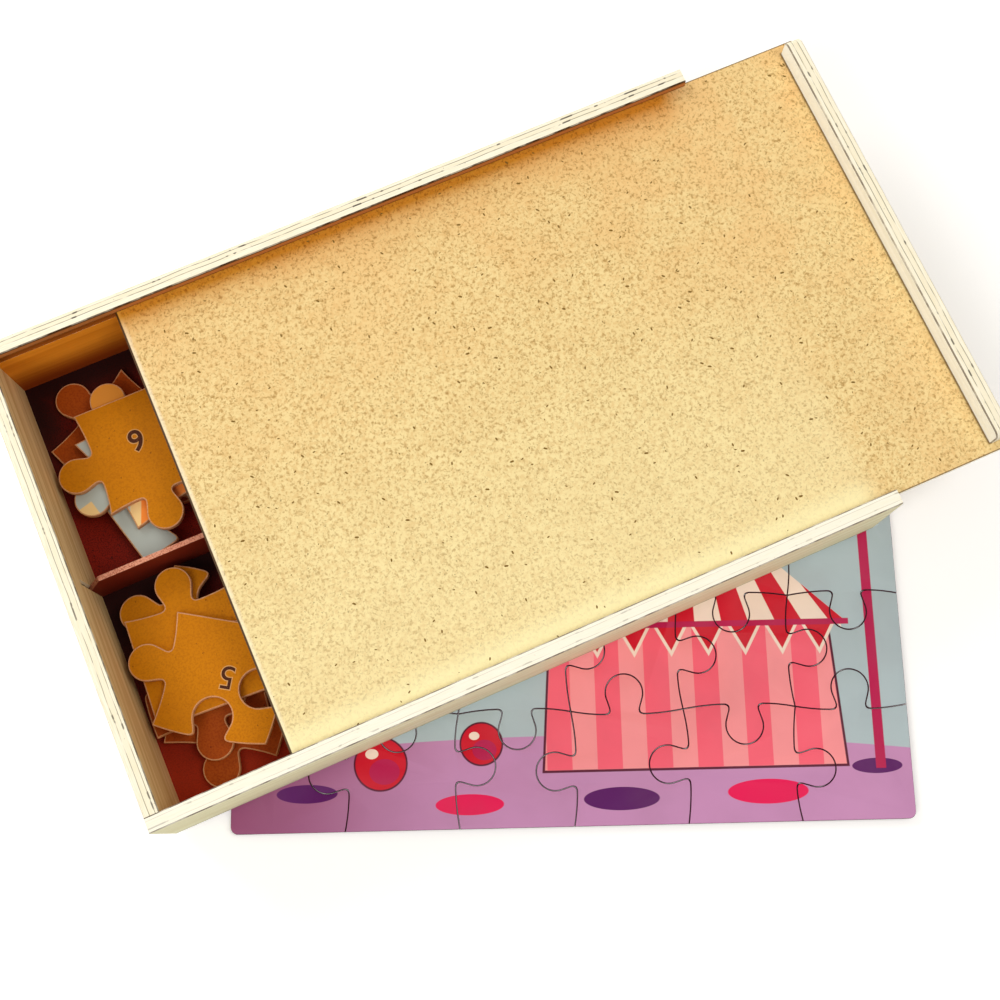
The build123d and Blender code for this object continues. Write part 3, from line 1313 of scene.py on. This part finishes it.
@dataclass(frozen=True)
class Fibres:
    """Loose fibres and splinters that lie on a flat surface, scattered by Geometry Nodes.

    Attributes:
        name: Name of the piece that they make.
        corners: Two opposite corners of the surface in metres, at one height.
        density: Fibres to a square metre.
        length: Their greatest length in metres.
        least: The shortest fibre's length, as a share of the greatest.
        slender: Their width as a share of their length.
        spread: Greatest turn away from the surface's X axis, in radians.
        seed: Seed of their places.
    """

    name: str
    corners: tuple[Vector, Vector]
    density: float
    length: float
    least: float
    slender: float
    spread: float
    seed: int

    def scatter(self, material: bpy.types.Material) -> bpy.types.Object:
        """Makes the fibres.

        Args:
            material: Their finish.

        Returns:
            The piece.
        """
        tree = Grower(self.name, {"Surface": "Geometry"})
        scattered = {"Mesh": tree.inputs["Surface"], "Density": self.density, "Seed": self.seed}
        points = tree.node("GeometryNodeDistributePointsOnFaces", {}, scattered)
        sliver = tree.node("GeometryNodeMeshCircle", {"fill_type": "NGON"}, {"Vertices": 6, "Radius": 0.5})
        ranges = ({2: low, 3: 1.0, "Seed": self.seed} for low in (self.least, -1.0))
        settings = {"data_type": "FLOAT"}
        size, turn = (tree.node("FunctionNodeRandomValue", settings, values, 1) for values in ranges)
        long = size * self.length
        scale = tree.node("ShaderNodeCombineXYZ", {}, {0: long, 1: long * self.slender, 2: 1.0})
        rotation = tree.node("ShaderNodeCombineXYZ", {}, {2: turn * self.spread})
        laid = {"Points": points, "Instance": sliver, "Rotation": rotation, "Scale": scale}
        made = tree.node("GeometryNodeInstanceOnPoints", {}, laid)
        made = tree.node("GeometryNodeRealizeInstances", {}, {0: made})
        made = tree.node("GeometryNodeSetMaterial", {}, {"Geometry": made, "Material": material})
        tree.node("NodeGroupOutput", {}, {0: made})

        low, high = self.corners
        level = [(low.x, low.y), (high.x, low.y), (high.x, high.y), (low.x, high.y)]
        ground = bpy.data.meshes.new(f"{self.name} ground")
        ground.from_pydata([(x, y, low.z) for x, y in level], [], [(0, 1, 2, 3)])
        return tree.grow(self.name, ground, {})


def mount(piece: bpy.types.Object, body: str, slot: str, *replaced: str) -> None:
    """Makes a piece part of the object.

    Args:
        piece: The piece, in place.
        body: The body that it moves with.
        slot: The record's material slot of its finish; not used.
        *replaced: The CAD nodes that it stands for.
    """
    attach(piece, body)
    if replaced:
        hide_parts(*replaced)
    log.info("%s rides on %s with %d faces", piece.name, body, len(piece.data.polygons))


def dress(node: str, material: bpy.types.Material) -> None:
    """Gives a CAD node its finish.

    Args:
        node: The node's name.
        material: The finish.
    """
    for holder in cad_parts[node].material_slots:
        holder.material = material
    log.info("%s is finished in %s", node, material.name)


@dataclass(frozen=True)
class BoxCase:
    """The box: four plywood walls, a bottom panel and two dividers.

    Attributes:
        room_below: Room in the walls' groove under the lid, in millimetres.
        room_above: Room in the groove over the lid, in millimetres.
    """

    room_below: float = 0.2
    room_above: float = 0.5

    def dress(self) -> None:
        """Finishes the box: four plywood walls, a bottom panel and two dividers."""
        lid_low, lid_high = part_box("lid_panel")
        groove = (lid_low.z / MM - self.room_below, lid_high.z / MM + self.room_above)
        walls = (
            Plywood(
                "far_side_wall",
                "Far wall plywood",
                Axis.Y,
                outward=1,
                glue_lines=(2.7, 4.5),
                ink=0.85,
                # Painted shade: the far wall's inner face is orange.
                inner=(tone(252, 164, 46), tone(232, 140, 30)),
                inner_arris=1.0,
                groove=groove,
                groove_shade=tone(158, 84, 22),
                lip_tone=tone(186, 120, 70),
                floor_bounce_share=0.85,
            ),
            Plywood(
                "near_side_wall",
                "Near wall plywood",
                Axis.Y,
                outward=-1,
                glue_lines=(1.5, 4.4),
                ink=0.25,
                outer=(tone(240, 240, 208), tone(226, 220, 180)),
                plies=(tone(254, 253, 244), tone(250, 247, 232)),
                outer_arris=0.85,
                groove=groove,
            ),
            Plywood(
                "left_end_wall",
                "Left wall plywood",
                Axis.X,
                outward=-1,
                glue_lines=(1.4, 3.6),
                ink=0.7,
                inner=(tone(244, 218, 164), tone(212, 176, 120)),
                inner_arris=0.85,
            ),
            Plywood(
                "right_end_wall",
                "Right wall plywood",
                Axis.X,
                outward=1,
                glue_lines=(1.6, 4.2),
                ink=0.6,
            ),
        )
        for wall in walls:
            dress(wall.node, wall.make())
        stain = (tone(136, 26, 9), tone(84, 9, 4), tone(38, 5, 2), tone(140, 74, 44))
        dress("bottom_panel", FloorBoard("Bottom panel", *stain, flecks=0.1).make())
        red_brown = (tone(218, 154, 130), tone(168, 98, 76), tone(96, 40, 26), tone(122, 36, 18))
        divider = Hardboard("Divider board", *red_brown, flecks=0.1).make()
        for node in ("long_divider", "cross_divider"):
            dress(node, divider)


@dataclass(frozen=True)
class SlidingLid:
    """The lid: a hardboard panel with a plywood pull strip on its right end.

    Attributes:
        side_gap: Gap between the fibres and the side walls, in millimetres.
        end_gap: Gap between the fibres and the panel's left end, in millimetres.
        strip_gap: Gap between the fibres and the panel's right end, in millimetres.
        lift: How high the fibres lie over the panel, in millimetres.
    """

    side_gap: float = 0.5
    end_gap: float = 1.0
    strip_gap: float = 7.0
    lift: float = 0.02

    def dress(self) -> None:
        """Finishes the panel and the pull strip."""
        tan = (tone(242, 223, 166), tone(222, 190, 130), tone(126, 100, 46), tone(252, 244, 222))
        dress("lid_panel", LidBoard("Lid hardboard", *tan, flecks=0.06, grain=1.3, fine=0.75).make())
        strip = Plywood(
            "lid_pull_strip",
            "Pull strip plywood",
            Axis.X,
            outward=1,
            glue_lines=(2.2, 4.4),
            ink=0.8,
            # Painted light: the strip's inner face is near white.
            inner=(tone(250, 253, 250), tone(240, 241, 232)),
        )
        dress(strip.node, strip.make())

    def scatter_fibres(self) -> None:
        """Scatters the board's dark fibres over the panel."""
        low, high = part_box("lid_panel")
        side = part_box("far_side_wall")[0].y - self.side_gap * MM
        surface = high.z + self.lift * MM
        left = low.x + self.end_gap * MM
        right = high.x - self.strip_gap * MM
        fibres = Fibres(
            "lid_fibres",
            (Vector((left, -side, surface)), Vector((right, side, surface))),
            density=7000,
            length=1.9 * MM,
            least=0.3,
            slender=0.46,
            spread=math.pi,
            seed=11,
        )
        mount(fibres.scatter(Ink("Dark fibre", tone(124, 96, 40)).make()), "lid", "lid_hardboard")


# Side of the box, height in pieces, column and row of the outline, place from the left end wall and
# from that side wall in pitches of a piece, turn, and whether its print is up
LOOSE = (
    (1, 0, 2, 2, 0.72, 0.86, 30, False),
    (1, 1, 0, 1, 0.83, 1.38, 15, True),
    (1, 2, 3, 0, 0.89, 1.10, 15, True),
    (1, 3, 3, 3, 0.87, 1.02, 0, False),
    (-1, 0, 0, 2, 0.74, 0.80, -30, False),
    (-1, 1, 5, 3, 0.60, 1.09, -8, False),
    (-1, 2, 1, 0, 0.78, 1.33, -40, False),
    (-1, 3, 0, 0, 0.62, 1.19, -3, False),
    (-1, 4, 2, 3, 0.76, 0.91, -33, False),
)


@dataclass(frozen=True)
class Puzzles:
    """The assembled puzzle under the box and the loose pieces in it.

    Attributes:
        cut: The pattern that every puzzle is cut in.
        middle: Middle of the assembled puzzle, in millimetres.
        turn: Turn of the assembled puzzle, in degrees.
    """

    cut: JigsawCut = field(default_factory=JigsawCut)
    middle: Pair = (25.0, -77.0)
    turn: float = -22.3

    def assembled(self) -> None:
        """Lays the rows of the assembled puzzle."""
        brown = (tone(206, 150, 70), tone(168, 108, 40), tone(110, 64, 20), tone(200, 150, 90))
        finish = {
            Surface.TOP: TentPicture("Tent picture", self.cut.size).printed(),
            # Painted shade: the printed pieces' rolled edges are dark mauve, so the cuts between them read
            # as dark lines.
            Surface.EDGE: PieceEdge("Printed board edge", tone(104, 62, 78), tone(68, 36, 50)).make(),
            Surface.UNDERSIDE: Hardboard("Puzzle back", *brown).make(),
        }
        layer = PieceLayer("Printed pieces", self.cut, PRINT_UP)
        for row in range(self.cut.rows):
            spots = [self.grid_spot(column, row) for column in range(self.cut.columns)]
            piece = layer.lay(f"printed_row_{row + 1}", spots, finish)
            mount(piece, "assembled_puzzle", "puzzle_print", f"puzzle_row_{row + 1}")

    def grid_spot(self, column: int, row: int) -> Spot:
        """Where a piece of the assembled puzzle lies.

        Args:
            column: Its column.
            row: Its row.

        Returns:
            Its spot.
        """
        grid = Vector((column - (self.cut.columns - 1) / 2, row - (self.cut.rows - 1) / 2)) * self.cut.pitch
        grid.rotate(Matrix.Rotation(math.radians(self.turn), 2))
        return Spot(column, row, (grid.x + self.middle[0], grid.y + self.middle[1], 0.0), self.turn)

    def loose(self) -> None:
        """Lays the loose pieces; the lower ones get a darker, redder copy of the board as painted shade."""
        amber = (tone(204, 128, 4), tone(184, 108, 2), tone(140, 78, 4), tone(226, 178, 140))
        # Painted shade: a darker, redder copy of the amber board for the lowest pieces.
        shaded_amber = (tone(174, 80, 18), tone(148, 60, 10), tone(104, 38, 8), tone(200, 140, 110))
        back, shaded_back = (
            Hardboard(name, *tones, flecks=0.05, grain=0.8, fine=0.7, relief=0.015).make()
            for name, tones in (("Loose piece back", amber), ("Shaded loose piece back", shaded_amber))
        )
        printed = HillPicture("Hill picture", self.cut.size).printed(0.5)
        edge = {Surface.EDGE: PieceEdge("Loose board edge").make()}
        print_up = edge | {Surface.TOP: printed, Surface.UNDERSIDE: back}
        back_up, shaded_back_up = (
            edge | {Surface.TOP: board, Surface.UNDERSIDE: printed} for board in (back, shaded_back)
        )
        layer = PieceLayer("Turned pieces", self.cut, BACK_UP)
        inner_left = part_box("left_end_wall")[1].x / MM
        inner_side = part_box("far_side_wall")[0].y / MM
        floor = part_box("bottom_panel")[1].z / MM
        pitch = self.cut.pitch
        for side, level, column, row, from_end, from_side, turn, shows_print in LOOSE:
            across = side * (inner_side - from_side * pitch)
            place = (inner_left + from_end * pitch, across, floor + level * self.cut.thickness)
            compartment = "far" if side > 0 else "near"
            label = f"{compartment}_loose_piece_{level + 1}"
            finish = print_up if shows_print else shaded_back_up if level < 2 else back_up
            piece = layer.lay(f"dressed_{label}", [Spot(column, row, place, turn)], finish)
            mount(piece, "box", "piece_board", label)


@dataclass(frozen=True)
class PrintedNumber:
    """A number with a pale outline, printed on a loose piece's back.

    Attributes:
        digit: The number.
        weight: How much bolder than the plain font it is, in millimetres.
        place: Its middle, at the height of the board's face, in millimetres.
        turn: Its turn in degrees.
        size: The font's size in millimetres.
        outline: How far the pale outline reaches round it, in millimetres.
    """

    digit: Digit
    weight: float
    place: Place
    turn: float
    size: float = 12.8
    outline: float = 0.38

    def stamp(self) -> None:
        """Prints the outline and the number over it."""
        self.layer("halo", self.weight + self.outline, 0.02, Ink("Pale outline", tone(216, 164, 104)))
        self.layer("ink", self.weight, 0.04, Ink("Brown ink", tone(72, 34, 20)))

    def layer(self, label: str, swell: float, lift: float, ink: Ink) -> None:
        """Prints one layer.

        Args:
            label: What it is called.
            swell: How much bolder than the plain font it is, in millimetres.
            lift: How high it lies over the board, in millimetres.
            ink: Its ink.
        """
        text = bpy.data.curves.new(f"number {self.digit.value} {label}", "FONT")
        text.body = self.digit.value
        text.size = self.size * MM
        text.align_x = "CENTER"
        text.align_y = "CENTER"
        text.offset = swell * MM
        text.resolution_u = 6
        mesh = take_mesh(add_object("number", text))
        x, y, z = self.place
        laid = Matrix.Translation(Vector((x, y, z + lift)) * MM)
        mesh.transform(laid @ Matrix.Rotation(math.radians(self.turn), 4, "Z"))
        mesh.materials.clear()
        mesh.materials.append(ink.make())
        mount(add_object(f"number_{self.digit.value}_{label}", mesh), "box", "piece_board")


@dataclass(frozen=True)
class Lamp:
    """A square area lamp.

    Attributes:
        name: Its name.
        place: Where it hangs, in metres.
        size: Side of its square.
        power: Its power in watts.
        warmth: Its colour.
        target: What it is turned to.
    """

    name: str
    place: Place
    size: float
    power: float
    warmth: Colour
    target: Place = (0.0, 0.0, 0.03)

    def hang(self) -> None:
        """Adds it to the scene."""
        data = bpy.data.lights.new(self.name, "AREA")
        data.size = self.size
        data.energy = self.power
        data.color = self.warmth[:3]
        lamp = add_object(self.name, data)
        lamp.location = self.place
        lamp.rotation_euler = (Vector(self.target) - Vector(self.place)).to_track_quat("-Z", "Y").to_euler()


@dataclass(frozen=True)
class Studio:
    """Camera, lamps, surroundings and floor.

    Attributes:
        eye: The camera's place in metres.
        right: Its direction to the picture's right.
        down: Its direction down the picture.
        lens: Its focal length in millimetres.
        sensor: Width of its sensor in millimetres.
        lamps: The lamps.
        fill: Colour of the surroundings' light.
        fill_strength: Its strength.
        floor_size: Side of the floor in metres.
        floor_drop: How far it lies under the puzzle, in metres.
        floor_tone: Its colour.
        near_glow: How much of white it gives by itself near the object, where it shows the shadow.
        glow_from: How far from the origin its glow starts to rise to full white, in millimetres.
        white_from: How far away it is full white.
    """

    eye: Place = (-0.03985, -0.14713, 0.56468)
    right: Place = (0.91603, -0.40105, 0.00721)
    down: Place = (-0.38890, -0.89239, -0.22888)
    lens: float = 50.18
    sensor: float = 36.0
    lamps: tuple[Lamp, ...] = (
        Lamp("Key", (-0.45, 1.0, 0.62), 0.8, 8.2, tone(255, 252, 244)),
        Lamp("Front", (-0.85, -0.5, 1.1), 0.7, 6.0, tone(255, 250, 242)),
        Lamp("Side", (0.5, -0.25, 1.15), 0.5, 3.7, tone(255, 250, 240), (-0.05, 0.0, 0.03)),
    )
    fill: Colour = tone(255, 245, 230)
    fill_strength: float = 0.48
    floor_size: float = 6.0
    floor_drop: float = 0.0002
    floor_tone: Colour = (0.90, 0.93, 0.98, 1.0)
    near_glow: float = 0.24
    glow_from: float = 300.0
    white_from: float = 800.0

    def camera(self) -> None:
        """Makes the camera."""
        right, down = Vector(self.right).normalized(), Vector(self.down).normalized()
        turned = Matrix((right, -down, right.cross(-down))).transposed()
        data = bpy.data.cameras.new("Camera")
        data.sensor_width = self.sensor
        data.lens = self.lens
        data.clip_start = 0.01
        camera = add_object("Camera", data)
        camera.matrix_world = Matrix.Translation(Vector(self.eye)) @ turned.to_4x4()
        bpy.context.scene.camera = camera

    def world(self) -> None:
        """Makes the surroundings, which are white to the camera and a warm fill to the object."""
        world = bpy.data.worlds.new("Surroundings")
        bpy.context.scene.world = world
        world.use_nodes = True
        world.node_tree.nodes.clear()
        graph = Graph(world.node_tree)
        fill = {"Color": self.fill, "Strength": self.fill_strength}
        white = {"Color": (1, 1, 1, 1), "Strength": 1.0}
        light, seen = (graph.node("ShaderNodeBackground", {}, values) for values in (fill, white))
        mixed = graph.node("ShaderNodeMixShader", {}, {0: graph.backdrop_rays(), 1: light, 2: seen})
        graph.node("ShaderNodeOutputWorld", {}, {"Surface": mixed})

    def floor(self) -> None:
        """Makes the pale floor that the puzzle lies on."""
        paint = Painter("White floor")
        along, across, _ = paint.place().axes()
        away = (along**2 + across**2) ** 0.5
        rise = away.above(self.glow_from, self.white_from) * (1 - self.near_glow)
        values = {
            "Base Color": self.floor_tone,
            "Roughness": 0.9,
            "Emission Color": paint.blend(
                paint.backdrop_rays() * (self.near_glow + rise), (0, 0, 0, 1), (1, 1, 1, 1)
            ),
            "Emission Strength": 1.0,
        }
        shader = paint.node("ShaderNodeBsdfPrincipled", {}, values)
        paint.node("ShaderNodeOutputMaterial", {}, {"Surface": shader})
        mesh = bpy.data.meshes.new("floor")
        half = self.floor_size / 2
        corners = [(x * half, y * half, -self.floor_drop) for x, y in ((-1, -1), (1, -1), (1, 1), (-1, 1))]
        mesh.from_pydata(corners, [], [(0, 1, 2, 3)])
        mesh.materials.append(paint.material)
        add_object("floor", mesh)

    def set_up(self) -> None:
        """Makes the whole studio."""
        bpy.context.scene.view_settings.view_transform = "Standard"
        self.camera()
        for lamp in self.lamps:
            lamp.hang()
        self.world()
        self.floor()


def main() -> None:
    """Builds the object's looks and its studio, in order."""
    logging.basicConfig(level=logging.INFO, format="%(name)s: %(message)s")
    BoxCase().dress()
    lid = SlidingLid()
    lid.dress()
    lid.scatter_fibres()
    puzzles = Puzzles()
    puzzles.assembled()
    puzzles.loose()
    PrintedNumber(Digit.NINE, 0.2, (-110.1, 50.3, 18.0), 2.0).stamp()
    PrintedNumber(Digit.FIVE, 0.02, (-110.4, -53.7, 21.0), 147.0).stamp()
    Studio().set_up()
    bpy.context.view_layer.update()


if __name__ == "__main__":
    main()
